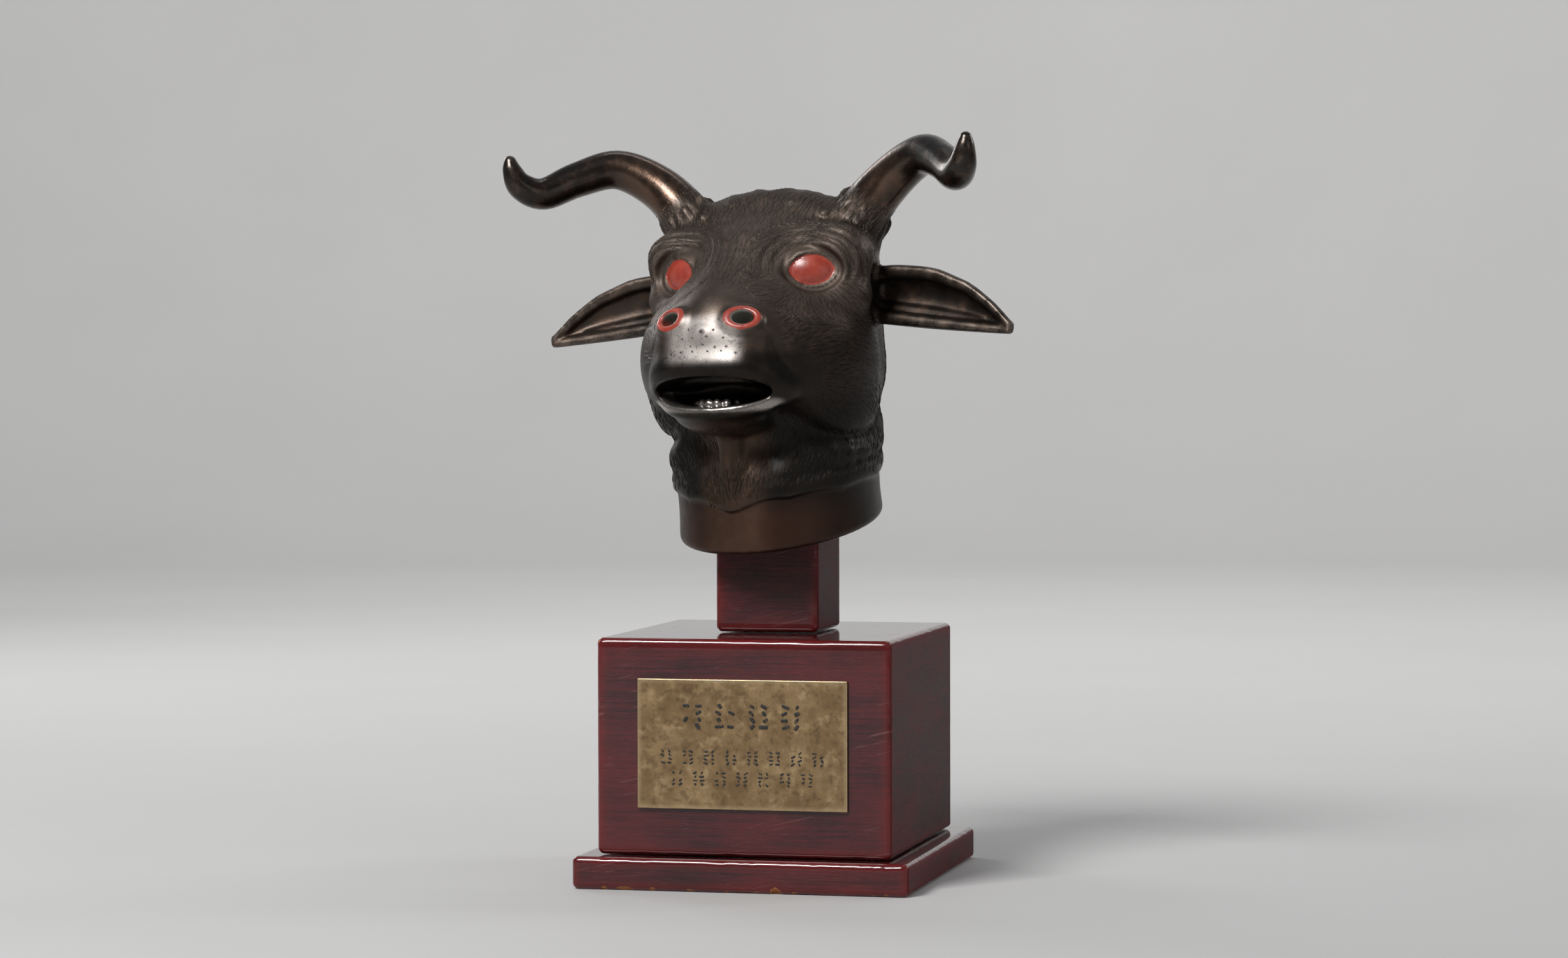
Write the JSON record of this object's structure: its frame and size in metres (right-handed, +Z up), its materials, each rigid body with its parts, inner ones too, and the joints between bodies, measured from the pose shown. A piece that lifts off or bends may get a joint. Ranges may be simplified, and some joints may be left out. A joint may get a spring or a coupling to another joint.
{
  "type": "ox head zodiac figure on a stand",
  "caption": "Cast ox head with S-shaped horns, spread ears and an open mouth, on a square post and a stepped wooden stand with a name plate.",
  "frame": {"origin": "middle of the stand's underside", "axes": "+Z up, -Y is the stand's front, which carries the name plate, +X to the right seen from the front. The head is turned 13 degrees towards -X"},
  "size_m": [0.2065, 0.136, 0.2886],
  "materials": {
    "bronze": "dark brown patina, satin, painted eyes and nostril rings",
    "lacquered_wood": "glossy dark red-brown lacquer, worn at the edges",
    "aged_brass": "aged, matt"
  },
  "bodies": {
    "root": {"ox_head": "bronze", "post": "lacquered_wood", "plinth_block": "lacquered_wood", "base_slab": "lacquered_wood", "brass_plate": "aged_brass"}
  },
  "joints": []
}
